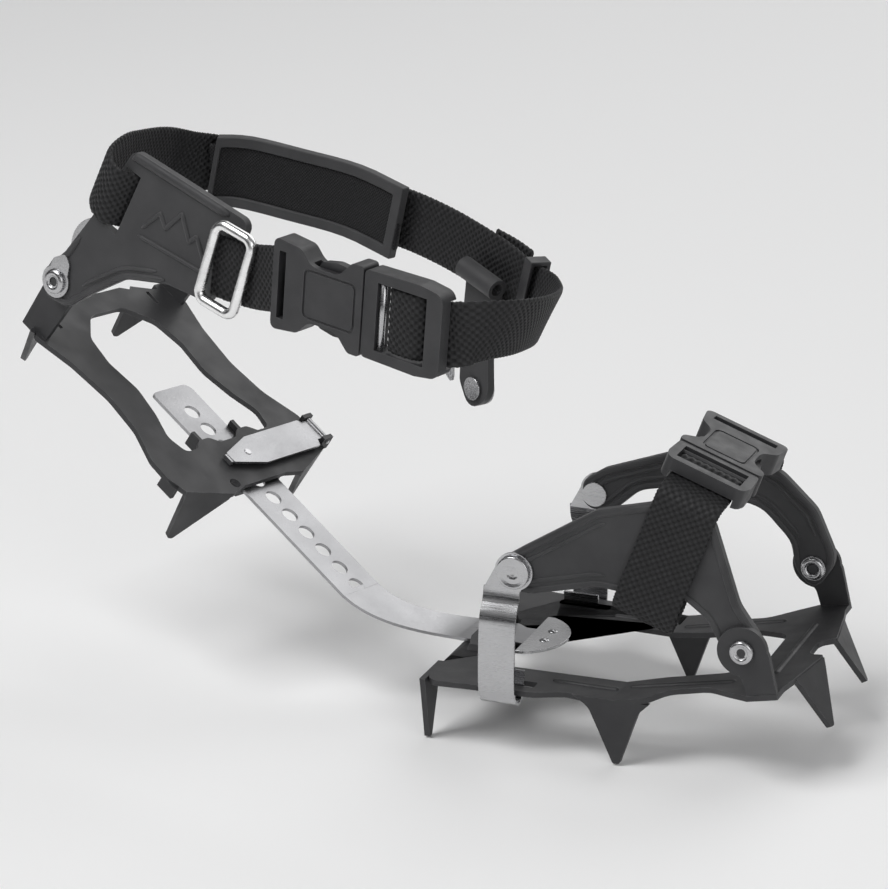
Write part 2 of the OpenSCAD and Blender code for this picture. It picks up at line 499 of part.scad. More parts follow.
// Flat wire ring over the end of the near panel
ring_wire = 2.1;
module in_ring() in_panel() translate([48, panel_in + panel_t + web_t + ring_wire + 1.8, 85.6]) rotate([0, 3, 0])
    children();
module heel_ring() color(stainless) in_ring() for (a = [0, 180]) rotate([0, a, 0]) {
    hx = 8.8; // half the ring between wire centres
    hz = 15.8;
    r = 4;
    translate([hx, 0, -hz + r]) cylinder(r = ring_wire, h = 2 * (hz - r));
    translate([-hx + r, 0, hz]) rotate([0, 90, 0]) cylinder(r = ring_wire, h = 2 * (hx - r));
    for (z = [-1, 1]) translate([hx - r, 0, z * (hz - r)]) rotate([90, 0, 0])
        rotate_extrude(angle = 90 * z) translate([r, 0]) circle(ring_wire);
}
// Short strap under the ring and out to the female buckle, in the ankle frame
ring_line = [[39.5, -42.6, 83.4], [48, -42.4, 84.2], [57, -42.9, 86.4], [66, -44.8, 90], [74, -47.2, 93.8],
             [80.4, -47.4, 95.8]];
module ring_webbing() color(web_black) in_ankle() ribbon(curve(ring_line),
    [for (i = [0:20]) [0.05 - 0.01 * i, 0.09 * (1 - i / 20), 1]], web_w - 0.4, web_t);

module in_ankle_buckle() in_ankle() translate([118.5, -49.5, 102]) rotate([0, -9, 0]) rotate([-90, 0, 180])
    children();
module ankle_buckle_female() color(rubber_black) in_ankle_buckle() buckle_female(43, 35, 9, 24);
module ankle_buckle_male() color(rubber_black) in_ankle_buckle() buckle_male(36, 35, 8, 24);

module strap_keeper() color(rubber_black) in_ankle() translate([125.6, 43.2, 87.7]) rotate([0, 0, -25])
    difference() {
        cube([5.5, 9, 30.4], center = true);
        cube([12, 5.4, 26.8], center = true);
    }

// Far panel: hangs inside the webbing, its lower ear carries the hook
far_panel = [[-9, 84, 0], [10, 84, 0], [11, 62, 8], [18, 41, 8], [9, 31, 8], [0, 40, 6],
             [-5, 60, 10]];
far_ear = [9, 41];
module in_far_panel() in_ankle() translate([103, 44, 0]) rotate([0, 0, -13]) children();
module heel_panel_far() color(rubber_black) in_far_panel() {
    wall(-1.6, 3.2) difference() {
        polygon(rounded(far_panel));
        translate(far_ear) circle(rivet_r + fit);
    }
    // rolled top edge
    translate([-10, -2.6, 85]) rotate([0, 90, 0]) difference() {
        cylinder(r = 4.2, h = 21);
        translate([0, 0, -1]) cylinder(r = 2.6, h = 23);
    }
}
module far_rivet() color(stainless) in_far_panel() translate([far_ear[0], 0, far_ear[1]]) {
    translate([0, -1.8, 0]) rotate([-90, 0, 0]) cylinder(r = rivet_r, h = 5.4);
    translate([0, -3, 0]) rotate([-90, 0, 0]) cylinder(r = 4.6, h = 1.2);
    translate([0, 3.4, 0]) rotate([-90, 0, 0]) cylinder(r = 4.6, h = 1.2);
}
// Hook that turns on the far rivet
module far_hook() color(stainless) in_far_panel() translate([far_ear[0], 0, far_ear[1]]) wall(1.8, 1.3)
    difference() {
        union() {
            circle(7);
            polygon(rounded([[-2, 6.5, 0], [-16, 8, 1], [-22, 6, 3], [-22, -5, 3], [-17, -7, 1], [-17, -4, 1],
                             [-18.5, 1, 2], [-14, 2.5, 1], [-3, -3, 0]]));
        }
        circle(rivet_r + fit);
    }

toe_frame();
toe_bracket_near();
toe_bracket_far();
toe_rear_rivet_near();
toe_rear_rivet_far();
toe_front_rivets();
toe_harness_near();
toe_harness_far();
toe_webbing_near();
toe_webbing_far();
toe_buckle_male();
toe_buckle_female();
leaf_spring_bar();
bar_stop_plate();
bar_stop_rivets();
heel_frame();
bar_latch();
latch_pin();
latch_hinge_wire();
heel_panel_near();
heel_rivet_near();
heel_stop_link();
heel_side_plate();
heel_washers();
heel_ring();
ring_webbing();
ankle_buckle_female();
ankle_buckle_male();
ankle_webbing_front();
ankle_webbing_back();
heel_pad_frame();
heel_pad_insert();
strap_keeper();
webbing_tail();
heel_panel_far();
far_rivet();
far_hook();
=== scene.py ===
"""Looks of the strap-on crampon: rubber, webbing, moulded buckles and metal built round the CAD frame."""

import json
import math

import bmesh
import bpy
import numpy as np
from mathutils import Matrix, Vector


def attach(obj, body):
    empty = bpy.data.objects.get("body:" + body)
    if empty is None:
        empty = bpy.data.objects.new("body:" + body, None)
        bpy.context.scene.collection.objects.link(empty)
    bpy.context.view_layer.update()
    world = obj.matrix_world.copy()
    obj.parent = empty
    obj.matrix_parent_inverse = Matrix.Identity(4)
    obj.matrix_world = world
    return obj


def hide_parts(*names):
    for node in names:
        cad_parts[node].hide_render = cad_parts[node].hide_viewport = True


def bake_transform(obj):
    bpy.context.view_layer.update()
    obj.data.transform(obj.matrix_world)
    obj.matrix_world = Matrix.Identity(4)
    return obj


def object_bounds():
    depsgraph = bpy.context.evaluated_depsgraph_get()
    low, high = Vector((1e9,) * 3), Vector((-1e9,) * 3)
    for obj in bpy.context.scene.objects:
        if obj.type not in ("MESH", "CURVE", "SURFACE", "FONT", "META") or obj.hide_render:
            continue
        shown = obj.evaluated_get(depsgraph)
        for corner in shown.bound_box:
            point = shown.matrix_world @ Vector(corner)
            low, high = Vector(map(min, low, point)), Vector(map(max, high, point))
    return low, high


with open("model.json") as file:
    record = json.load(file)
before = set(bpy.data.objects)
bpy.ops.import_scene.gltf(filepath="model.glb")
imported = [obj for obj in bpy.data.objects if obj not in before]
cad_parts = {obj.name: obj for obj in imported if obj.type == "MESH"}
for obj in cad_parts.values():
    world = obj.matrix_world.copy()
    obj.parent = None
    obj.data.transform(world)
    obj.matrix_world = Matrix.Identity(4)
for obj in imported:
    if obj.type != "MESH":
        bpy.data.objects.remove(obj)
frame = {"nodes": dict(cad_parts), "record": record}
cad_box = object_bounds()
MM = 0.001


# ---------- places, in the same local frames as the CAD ----------
def turn(x, y, z):
    """Rotation about X, then Y, then Z, in degrees."""
    rx, ry, rz = (math.radians(a) for a in (x, y, z))
    return Matrix.Rotation(rz, 4, "Z") @ Matrix.Rotation(ry, 4, "Y") @ Matrix.Rotation(rx, 4, "X")


def shift(x, y, z):
    """Move by millimetres."""
    return Matrix.Translation((x * MM, y * MM, z * MM))


NEAR_SIDE = Matrix.Scale(-1, 4, (0, 1, 0))
HEEL_RIVET = (-44.5, 28.2)  # x and z in the heel frame
PANEL_RIVET = (-31.9, 44.8)  # the same rivet in the panel's frame
PANEL_TILT = 18.5  # pitch of the ankle loop against the heel frame
PANEL_IN, PANEL_T = 45.6, 3.5
WEB_W, WEB_T = 25, 1.8
HEEL = shift(-206, 11.5, 82) @ turn(-5, 32.5, -17)
ANKLE = shift(-206, 11.5, 82) @ turn(0, 14, -17)
TOE_STRAP = shift(26, 0, 80) @ turn(0, 20, 0)
PANEL = (HEEL @ shift(HEEL_RIVET[0], 0, HEEL_RIVET[1]) @ turn(0, -PANEL_TILT, 0)
         @ shift(-PANEL_RIVET[0], 0, -PANEL_RIVET[1]) @ NEAR_SIDE)


def local(place, points):
    """Points in millimetres of a local frame, as points of the row frame in metres."""
    return [place @ (Vector(p) * MM) for p in points]


# ---------- materials ----------
class Shader:
    """A Principled material with short helpers for its node tree."""

    def __init__(self, name, roughness, metallic=0.0, **sockets):
        self.mat = bpy.data.materials.new(name)
        self.mat.use_nodes = True
        self.tree = self.mat.node_tree
        self.out = self.tree.nodes["Principled BSDF"]
        self.out.inputs["Roughness"].default_value = roughness
        self.out.inputs["Metallic"].default_value = metallic
        for key, value in sockets.items():
            self.out.inputs[key.replace("_", " ")].default_value = value
        self.coord = self.add("ShaderNodeTexCoord").outputs["Object"]
        self.height = None

    def add(self, kind, **settings):
        node = self.tree.nodes.new(kind)
        for key, value in settings.items():
            setattr(node, key, value)
        return node

    def link(self, a, b):
        self.tree.links.new(a, b)

    def mapped(self, scale, rotation=(0, 0, 0), vector=None):
        node = self.add("ShaderNodeMapping")
        node.inputs["Scale"].default_value = scale
        node.inputs["Rotation"].default_value = [math.radians(a) for a in rotation]
        self.link(vector or self.coord, node.inputs["Vector"])
        return node.outputs["Vector"]

    def noise(self, scale, detail=3.0, vector=None, rough=0.5):
        node = self.add("ShaderNodeTexNoise")
        node.inputs["Scale"].default_value = scale
        node.inputs["Detail"].default_value = detail
        node.inputs["Roughness"].default_value = rough
        self.link(vector or self.coord, node.inputs["Vector"])
        return node.outputs["Fac"]

    def voronoi(self, scale, vector=None):
        node = self.add("ShaderNodeTexVoronoi")
        node.inputs["Scale"].default_value = scale
        self.link(vector or self.coord, node.inputs["Vector"])
        return node.outputs["Distance"]

    def remap(self, value, low, high, to_low, to_high):
        node = self.add("ShaderNodeMapRange")
        for socket, number in zip(("From Min", "From Max", "To Min", "To Max"), (low, high, to_low, to_high)):
            node.inputs[socket].default_value = number
        self.link(value, node.inputs["Value"])
        return node.outputs["Result"]

    def math(self, operation, a, b):
        node = self.add("ShaderNodeMath", operation=operation)
        for socket, value in zip(node.inputs, (a, b)):
            if isinstance(value, (int, float)):
                socket.default_value = value
            else:
                self.link(value, socket)
        return node.outputs["Value"]

    def colour(self, fac, *stops):
        """Colour ramp from (position, grey or rgb) stops."""
        node = self.add("ShaderNodeValToRGB")
        ramp = node.color_ramp
        while len(ramp.elements) < len(stops):
            ramp.elements.new(1.0)
        for element, (position, tone) in zip(ramp.elements, stops):
            rgb = (tone, tone, tone) if isinstance(tone, (int, float)) else tone
            element.position = position
            element.color = (*rgb, 1)
        self.link(fac, node.inputs["Fac"])
        return node.outputs["Color"]

    def blend(self, fac, a, b):
        node = self.add("ShaderNodeMix", data_type="RGBA")
        self.link(fac, node.inputs["Factor"])
        for socket, value in zip((node.inputs[6], node.inputs[7]), (a, b)):
            if isinstance(value, tuple):
                socket.default_value = (*value, 1)
            else:
                self.link(value, socket)
        return node.outputs[2]

    def base(self, colour):
        self.link(colour, self.out.inputs["Base Color"])

    def rough(self, value):
        self.link(value, self.out.inputs["Roughness"])

    def bump(self, height, distance, strength=1.0):
        """Adds one more layer of bump; distance is the relief's depth in metres."""
        node = self.add("ShaderNodeBump")
        node.inputs["Strength"].default_value = strength
        node.inputs["Distance"].default_value = distance
        self.link(height, node.inputs["Height"])
        if self.height:
            self.link(self.height, node.inputs["Normal"])
        self.height = node.outputs["Normal"]
        self.link(self.height, self.out.inputs["Normal"])

    def weave(self):
        """The woven relief's height, 0 in the gaps and 1 on the crests; it masks the painted shade in the gaps."""
        node = self.add("ShaderNodeAttribute", attribute_name="weave")
        return self.remap(node.outputs["Fac"], 0.25, 0.8, 0.0, 1.0)

    def edges(self, radius):
        """0 on flat ground, 1 on edges sharper than the radius."""
        bevel = self.add("ShaderNodeBevel", samples=4)
        bevel.inputs["Radius"].default_value = radius
        geometry = self.add("ShaderNodeNewGeometry")
        dot = self.add("ShaderNodeVectorMath", operation="DOT_PRODUCT")
        self.link(bevel.outputs["Normal"], dot.inputs[0])
        self.link(geometry.outputs["Normal"], dot.inputs[1])
        return self.remap(dot.outputs["Value"], 0.98, 0.8, 0.0, 1.0)


def coated_steel():
    """Dark electro-coated plate: fine orange peel, faint handling marks, edges rubbed a little lighter."""
    s = Shader("coated_steel", 0.5, metallic=0.15, Specular_IOR_Level=0.45)
    cloud = s.noise(38, 5)
    tone = s.colour(cloud, (0.3, (0.030, 0.030, 0.032)), (0.7, (0.044, 0.044, 0.046)))
    rub = s.math("MULTIPLY", s.edges(0.0006), s.remap(s.noise(260, 3), 0.42, 0.62, 0.0, 0.55))
    s.base(s.blend(rub, tone, (0.16, 0.16, 0.165)))
    s.rough(s.remap(s.noise(90, 4), 0.3, 0.7, 0.42, 0.58))
    s.bump(s.noise(1900, 2), 0.00002, 0.5)
    s.bump(s.noise(420, 2), 0.00003, 0.35)
    return s.mat


def moulded_rubber():
    """Matte elastomer: very fine skin, soft mottling, slightly lighter dusting on its edges."""
    s = Shader("moulded_rubber", 0.6, Specular_IOR_Level=0.4, Sheen_Weight=0.12, Sheen_Roughness=0.5)
    tone = s.colour(s.noise(60, 6), (0.32, (0.032, 0.032, 0.034)), (0.7, (0.046, 0.046, 0.048)))
    rub = s.math("MULTIPLY", s.edges(0.0008), 0.35)
    s.base(s.blend(rub, tone, (0.11, 0.11, 0.115)))
    s.rough(s.remap(s.noise(140, 4), 0.3, 0.7, 0.52, 0.68))
    s.bump(s.noise(2600, 3), 0.00002, 0.45)
    return s.mat


def moulded_plastic():
    """Buckle nylon: spark-eroded pebble texture with a low satin sheen."""
    s = Shader("moulded_plastic", 0.45, Specular_IOR_Level=0.5)
    tone = s.colour(s.noise(80, 4), (0.3, (0.024, 0.024, 0.026)), (0.7, (0.034, 0.034, 0.036)))
    rub = s.math("MULTIPLY", s.edges(0.0007), 0.3)
    s.base(s.blend(rub, tone, (0.1, 0.1, 0.105)))
    s.rough(s.remap(s.noise(200, 3), 0.3, 0.7, 0.4, 0.55))
    s.bump(s.voronoi(2400), 0.00003, 0.5)
    return s.mat


def webbing_yarn():
    """Polyester webbing yarn: grey on the crests with fine filaments, and painted shade making the gaps near black.
    """
    s = Shader("webbing_yarn", 0.62, Specular_IOR_Level=0.35, Sheen_Weight=0.06, Sheen_Roughness=0.4)
    thread = s.noise(900, 2)
    crest = s.colour(thread, (0.3, (0.010, 0.010, 0.011)), (0.72, (0.032, 0.032, 0.034)))
    # Painted shade: the weave's gaps get a near-black colour where the relief's hollows would be shaded.
    s.base(s.blend(s.weave(), (0.0045, 0.0045, 0.005), crest))
    s.rough(s.remap(thread, 0.3, 0.7, 0.5, 0.72))
    s.bump(s.noise(3800, 2), 0.00006, 0.6)
    return s.mat


def pad_mesh():
    """Fine warp-knit textile of the heel pad, with painted shade making the gaps between its threads near black."""
    s = Shader("pad_mesh", 0.75, Specular_IOR_Level=0.25, Sheen_Weight=0.08, Sheen_Roughness=0.5)
    crest = s.colour(s.noise(1200, 2), (0.3, (0.010, 0.010, 0.011)), (0.7, (0.026, 0.026, 0.028)))
    # Painted shade: near black in the knit's gaps, yarn tone on the crests.
    s.base(s.blend(s.weave(), (0.002, 0.002, 0.0024), crest))
    s.bump(s.noise(3000, 2), 0.00005, 0.5)
    return s.mat


def brushed_metal(name, tone, rough, rotation, grain=(60, 2600, 2600)):
    """Satin steel brushed along one direction, with light smears."""
    s = Shader(name, rough, metallic=1.0, Anisotropic=0.4)
    lines = s.noise(1, 3, s.mapped(grain, rotation))
    smear = s.noise(45, 4)
    low = tuple(0.88 * c for c in tone)
    s.base(s.blend(s.remap(smear, 0.3, 0.7, 0.0, 1.0), tone, low))
    s.rough(s.math("ADD", s.remap(lines, 0.3, 0.7, rough - 0.07, rough + 0.09),
                   s.remap(smear, 0.35, 0.75, -0.03, 0.05)))
    s.bump(lines, 0.000004, 0.3)
    return s.mat


def zinc_wire():
    """Bright polished wire of the ring."""
    s = Shader("zinc_wire", 0.25, metallic=1.0)
    s.base(s.colour(s.noise(120, 3), (0.3, 0.80), (0.7, 0.92)))
    s.rough(s.remap(s.noise(300, 3), 0.3, 0.7, 0.16, 0.32))
    s.bump(s.noise(900, 2), 0.00001, 0.2)
    return s.mat


STEEL = coated_steel()
RUBBER = moulded_rubber()
PLASTIC = moulded_plastic()
YARN = webbing_yarn()
PAD = pad_mesh()
STAINLESS = brushed_metal("stainless", (0.52, 0.52, 0.53), 0.24, (0, 0, 0))
SPRING = brushed_metal("spring_steel", (0.4, 0.4, 0.41), 0.34, (5, -32.5, 17))
WIRE = zinc_wire()
FINISH = {"coated_steel": STEEL, "stainless": STAINLESS, "spring_steel": SPRING, "ring_wire": WIRE,
          "rubber": RUBBER, "buckle_plastic": PLASTIC, "webbing": YARN, "pad_textile": PAD}
SLOT_OF = {p["node"]: p["material_slot"] for p in frame["record"]["subparts"]}
BODY_OF = {n: b for b, members in frame["record"]["behaviour"]["bodies"].items() for n in members}


# ---------- mesh helpers ----------
def new_piece(name, bm, slot):
    """A shown piece from a bmesh, with its finish and its record slot."""
    mesh = bpy.data.meshes.new(name)
    bm.normal_update()
    bm.to_mesh(mesh)
    bm.free()
    obj = bpy.data.objects.new(name, mesh)
    bpy.context.scene.collection.objects.link(obj)
    mesh.materials.append(FINISH[slot])
    return obj


def soften(obj, width, segments=3, angle=33):
    """Rounds the outside edges by width in millimetres, as deburring or a mould does."""
    bevel = obj.modifiers.new("edges", "BEVEL")
    bevel.width = width * MM
    bevel.segments = segments
    bevel.limit_method = "ANGLE"
    bevel.angle_limit = math.radians(angle)
    bevel.harden_normals = False
    bevel.miter_outer = "MITER_ARC"
    weighted = obj.modifiers.new("normals", "WEIGHTED_NORMAL")
    weighted.keep_sharp = True
    weighted.weight = 80


def clean_copy(node):
    """The CAD node's mesh, joined up and with its flat faces merged."""
    bm = bmesh.new()
    bm.from_mesh(frame["nodes"][node].data)
    bmesh.ops.remove_doubles(bm, verts=bm.verts, dist=3e-6)
    bmesh.ops.dissolve_limit(bm, angle_limit=math.radians(1.2), verts=bm.verts, edges=bm.edges)
    return bm


def refined(node, width):
    """A shown copy of a rigid CAD node with softened edges."""
    bm = clean_copy(node)
    for face in bm.faces:
        face.smooth = True
    obj = new_piece(node + "_finished", bm, SLOT_OF[node])
    if width:
        soften(obj, width)
    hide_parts(node)
    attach(obj, BODY_OF[node])
    return obj


def smooth_path(points, step):
    """Catmull-Rom curve through the points, sampled about every step metres of its first three values."""
    p = [np.array(q, float) for q in points]
    dense = []
    for i in range(len(p) - 1):
        a, b, c, d = p[max(i - 1, 0)], p[i], p[i + 1], p[min(i + 2, len(p) - 1)]
        for k in range(24):
            t = k / 24
            dense.append(0.5 * (2 * b + (c - a) * t + (2 * a - 5 * b + 4 * c - d) * t * t
                                + (3 * b - a - 3 * c + d) * t ** 3))
    dense.append(p[-1])
    dense = np.array(dense)
    along = np.concatenate([[0], np.cumsum(np.linalg.norm(np.diff(dense[:, :3], axis=0), axis=1))])
    count = max(4, int(along[-1] / step))
    at = np.linspace(0, along[-1], count + 1)
    return np.stack([np.interp(at, along, dense[:, k]) for k in range(dense.shape[1])], 1), at


# ---------- webbing ----------
PICK = 1.45 * MM  # distance between neighbouring threads
RELIEF = 0.3 * MM  # how far a thread stands out


def webbing(name, points, across, width=WEB_W, thickness=WEB_T, slot="webbing", pick=PICK, relief=RELIEF):
    """Woven strap along the points: a closed ribbon whose threads are real relief, with thin selvages.

    across holds the width direction at each point.
    """
    step = pick / 4
    joined, along = smooth_path([(*p, *a) for p, a in zip(points, across)], step)
    path, wide = joined[:, :3], joined[:, 3:]
    tangent = np.gradient(path, axis=0)
    tangent /= np.linalg.norm(tangent, axis=1)[:, None]
    wide = wide - tangent * (tangent * wide).sum(1)[:, None]
    wide /= np.linalg.norm(wide, axis=1)[:, None]
    out = np.cross(wide, tangent)
    half = width * MM / 2
    cols = int(2 * half / step)
    v = np.linspace(-1, 1, cols + 1)
    weave = np.sin(math.pi * along / pick)[:, None] * np.sin(math.pi * v * half / pick)[None]
    ribs = 0.35 * np.cos(2 * math.pi * along / pick)[:, None] * np.ones_like(v)[None]
    body = thickness * MM / 2 * np.sqrt(np.clip(1 - np.abs(v) ** 14, 0.04, 1))
    edge_wave = 0.12 * MM * np.sin(2 * math.pi * along / pick)[:, None] * (np.abs(v)[None] ** 6) * np.sign(v)[None]
    flat = path[:, None] + wide[:, None] * (v[None] * half + edge_wave)[..., None]
    rise = relief * (weave + ribs) * (1 - 0.5 * np.abs(v) ** 8)[None]
    top = flat + out[:, None] * (body[None] + rise)[..., None]
    low = flat + out[:, None] * (-body[None] + relief * (weave - ribs))[..., None]
    rows = len(path)
    verts = np.concatenate([top.reshape(-1, 3), low.reshape(-1, 3)])
    grid = np.arange(rows * (cols + 1)).reshape(rows, cols + 1)
    under = grid + rows * (cols + 1)

    def quads(a, b, c, d):
        return np.stack([a.ravel(), b.ravel(), c.ravel(), d.ravel()], 1)

    faces = [quads(grid[:-1, :-1], grid[:-1, 1:], grid[1:, 1:], grid[1:, :-1]),
             quads(under[:-1, :-1], under[1:, :-1], under[1:, 1:], under[:-1, 1:]),
             quads(grid[:-1, 0], grid[1:, 0], under[1:, 0], under[:-1, 0]),
             quads(grid[:-1, -1], under[:-1, -1], under[1:, -1], grid[1:, -1]),
             quads(grid[0, :-1], under[0, :-1], under[0, 1:], grid[0, 1:]),
             quads(grid[-1, :-1], grid[-1, 1:], under[-1, 1:], under[-1, :-1])]
    mesh = bpy.data.meshes.new(name)
    mesh.from_pydata(verts.tolist(), [], np.concatenate(faces).tolist())
    mesh.polygons.foreach_set("use_smooth", [True] * len(mesh.polygons))
    # The relief height per point, kept so the yarn and pad materials can paint shade into the gaps.
    crest = mesh.attributes.new("weave", "FLOAT", "POINT")
    levels = [0.5 + 0.5 * sign * weave for sign in (1, -1)]
    crest.data.foreach_set("value", np.concatenate([level.ravel() for level in levels]))
    mesh.materials.append(FINISH[slot])
    obj = bpy.data.objects.new(name, mesh)
    bpy.context.scene.collection.objects.link(obj)
    return obj


def strap_points(path):
    """A toe-strap path given as y, z in the strap's own frame."""
    return local(TOE_STRAP, [(0, y, z) for y, z in path])


NEAR_WEB = [(-42.4, -20), (-41.8, -42), (-45.8, -48.6), (-49.8, -42), (-49.2, -20), (-49.1, -4), (-49, 1.4),
            (-46.6, 4.2), (-43, 5), (-40, 5.4), (-36, 5.8), (-33.6, 7.2), (-31.4, 9.8), (-29, 10.6), (-27.9, 9.2)]
FAR_WEB = [(16.4, 7), (24, 5), (33, 0), (40, -3.6), (46.4, -7), (49.2, -12.5), (49.2, -26)]


def toe_straps():
    across = TOE_STRAP.to_3x3() @ Vector((1, 0, 0))
    points = strap_points(NEAR_WEB)
    strap = webbing("near_toe_strap", points, [across] * len(points))
    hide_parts("toe_webbing_near")
    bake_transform(strap)
    points = strap_points(FAR_WEB)
    strap = webbing("far_toe_strap", points, [across] * len(points))
    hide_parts("toe_webbing_far")
    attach(strap, "toe")


# Middle lines in the ankle frame: x, y, z and how far the strap's top leans to +x
BACK_LINE = [(-7, -35.8, 87.6, 12), (-8.5, -39.2, 88.2, 12), (-12.2, -43.9, 89, 12), (-16, -45.2, 90, 13),
             (-21, -43.2, 91.4, 13), (-26.4, -37, 92.2, 12), (-31, -24, 91, 6), (-36, -8, 86.5, 0), (-42, 14, 80.5, 0), (-45, 34, 73.5, 0),
             (-36, 48.5, 72, 0), (-15, 54.5, 73.5, 0), (0, 56, 75.5, 0), (45, 57, 83.5, 0), (72, 55.2, 86.6, 0),
             (98, 50.4, 88.2, 0), (112, 47.2, 88.4, 0), (124.7, 43.6, 87.6, 0)]
FRONT_LINE = [(125.6, 43.2, 87.7, 0), (133, 38.5, 89.8, 6), (141, 31, 92.8, 12), (151, 18, 97, 14),
              (158.5, 2, 102.2, 14), (163.5, -15, 107, 11), (164.6, -30, 110.2, 6), (161, -42, 110.4, -2),
              (154.2, -47, 107.7, -9), (149, -47.1, 106.8, -9), (145.6, -48, 106.3, -9),
              (142.6, -50.6, 105.8, -9), (139, -51.7, 105.2, -9), (132.6, -51.7, 104.2, -9),
              (129, -50.2, 103.6, -9)]
PAD_LINE = [(-36, 42.6, 70.5, 0), (-24, 48.6, 73.6, 0), (0, 52, 77.6, 0), (28, 53, 82.6, 0), (54, 50.6, 84.6, 0)]
TAIL_LINE = [(98, 54.6, 88, 0), (106, 53.2, 88.6, 0), (113, 51, 89.2, 0), (119, 48.8, 89.6, 0)]
RING_LINE = [(39.5, -42.6, 83.4, 3), (48, -42.4, 84.2, 0), (57, -42.9, 86.4, -2), (66, -44.8, 90, -4),
             (74, -47.2, 93.8, -6), (80.4, -47.4, 95.8, -8)]


def ankle_strap(name, line, **options):
    """Webbing along a line of the ankle frame; also gives back its points."""
    points = local(ANKLE, [p[:3] for p in line])
    lean = [math.radians(p[3]) for p in line]
    across = [ANKLE.to_3x3() @ Vector((math.sin(a), 0, math.cos(a))) for a in lean]
    return webbing(name, points, across, **options), points


def ankle_straps():
    for name, line, node in (("ankle_strap_back", BACK_LINE, "ankle_webbing_back"),
                             ("strap_tail", TAIL_LINE, "webbing_tail"), ("ring_strap", RING_LINE, "ring_webbing")):
        strap, _ = ankle_strap(name, line)
        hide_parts(node)
        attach(strap, BODY_OF[node])
    front, points = ankle_strap("ankle_strap_front", FRONT_LINE)
    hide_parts("ankle_webbing_front")
    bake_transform(front)
    insert, _ = ankle_strap("pad_textile_sheet", PAD_LINE[:1] + PAD_LINE[1:], width=23, thickness=2.4,
                            slot="pad_textile", pick=0.7 * MM, relief=0.1 * MM)
    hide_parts("heel_pad_insert")
    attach(insert, "ankle")


# ---------- moulded ribs and relief ----------
def cord(name, path, out, radius, height, slot, closed=False):
    """Half-round raised rib along a path in metres; out is the face's outward direction."""
    path = np.array([list(p) for p in path])
    out = np.array(out)
    if closed:
        along = np.roll(path, -1, 0) - np.roll(path, 1, 0)
    else:
        along = np.gradient(path, axis=0)
    side = np.cross(along, out)
    side /= np.linalg.norm(side, axis=1)[:, None] + 1e-12
    angles = np.radians([-25, 0, 30, 60, 90, 120, 150, 180, 205])
    bm = bmesh.new()
    rings = []
    for k, (p, q) in enumerate(zip(path, side)):
        fade = 1.0 if closed else min(1.0, 0.35 + 0.65 * min(k, len(path) - 1 - k) / 3)
        rings.append([bm.verts.new(p + q * math.cos(a) * radius * MM * fade + out * math.sin(a) * height * MM * fade)
                      for a in angles])
    pairs = list(zip(rings, rings[1:])) + ([(rings[-1], rings[0])] if closed else [])
    for a, b in pairs:
        for i in range(len(angles)):
            j = (i + 1) % len(angles)
            bm.faces.new((a[i], a[j], b[j], b[i])).smooth = True
    if not closed:
        bm.faces.new(rings[0][::-1])
        bm.faces.new(rings[-1])
    bmesh.ops.recalc_face_normals(bm, faces=bm.faces)
    return new_piece(name, bm, slot)


def face_outline(node, out, inset):
    """Outer edge of a node's flat side that faces out, evenly sampled and moved inward by inset mm."""
    bm = clean_copy(node)
    bm.normal_update()
    out = Vector(out).normalized()
    facing = [f for f in bm.faces if f.normal.dot(out) > 0.999]
    level = max(f.calc_center_median().dot(out) for f in facing)
    facing = {f for f in facing if f.calc_center_median().dot(out) > level - 0.0002}
    links = {}
    for face in facing:
        for loop in face.loops:
            others = [f for f in loop.edge.link_faces if f is not face]
            if not any(f in facing for f in others):
                links[loop.vert.index] = (loop.link_loop_next.vert.index, loop.vert.co.copy())
    loops = []
    while links:
        start = next(iter(links))
        chain, at = [], start
        while at in links:
            nxt, co = links.pop(at)
            chain.append(list(co))
            at = nxt
        loops.append(np.array(chain))
    bm.free()
    ring = max(loops, key=lambda p: np.linalg.norm(np.roll(p, -1, 0) - p, axis=1).sum())
    closed = np.vstack([ring, ring[:1]])
    far = np.concatenate([[0], np.cumsum(np.linalg.norm(np.diff(closed, axis=0), axis=1))])
    at = np.linspace(0, far[-1], int(far[-1] / (1.2 * MM)), endpoint=False)
    ring = np.stack([np.interp(at, far, closed[:, k]) for k in range(3)], 1)
    for _ in range(2):
        ring = 0.5 * ring + 0.25 * (np.roll(ring, 1, 0) + np.roll(ring, -1, 0))
    ahead = np.roll(ring, -2, 0) - np.roll(ring, 2, 0)
    inward = np.cross(np.array(out), ahead)
    inward /= np.linalg.norm(inward, axis=1)[:, None]
    return ring + inward * inset * MM


def rim(node, name, out, inset, radius, height, keep=None):
    """Raised rim along a plate's edge; keep picks the stretch, from points in the row frame."""
    ring = face_outline(node, out, inset)
    if keep is None:
        pieces = [ring]
    else:
        flags = np.array([keep(Vector(p)) for p in ring])
        start = next((i for i in range(len(flags)) if flags[i] and not flags[i - 1]), 0)
        ring, flags = np.roll(ring, -start, 0), np.roll(flags, -start)
        stops = [i for i in range(len(flags)) if flags[i] != flags[i - 1]] + [len(flags)]
        pieces = [ring[a:b] for a, b in zip(stops, stops[1:]) if flags[a] and b - a > 6]
    for k, piece in enumerate(pieces):
        rib = cord(f"{name}_{k}", piece, Vector(out).normalized(), radius, height, SLOT_OF[node], keep is None)
        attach(rib, BODY_OF[node])


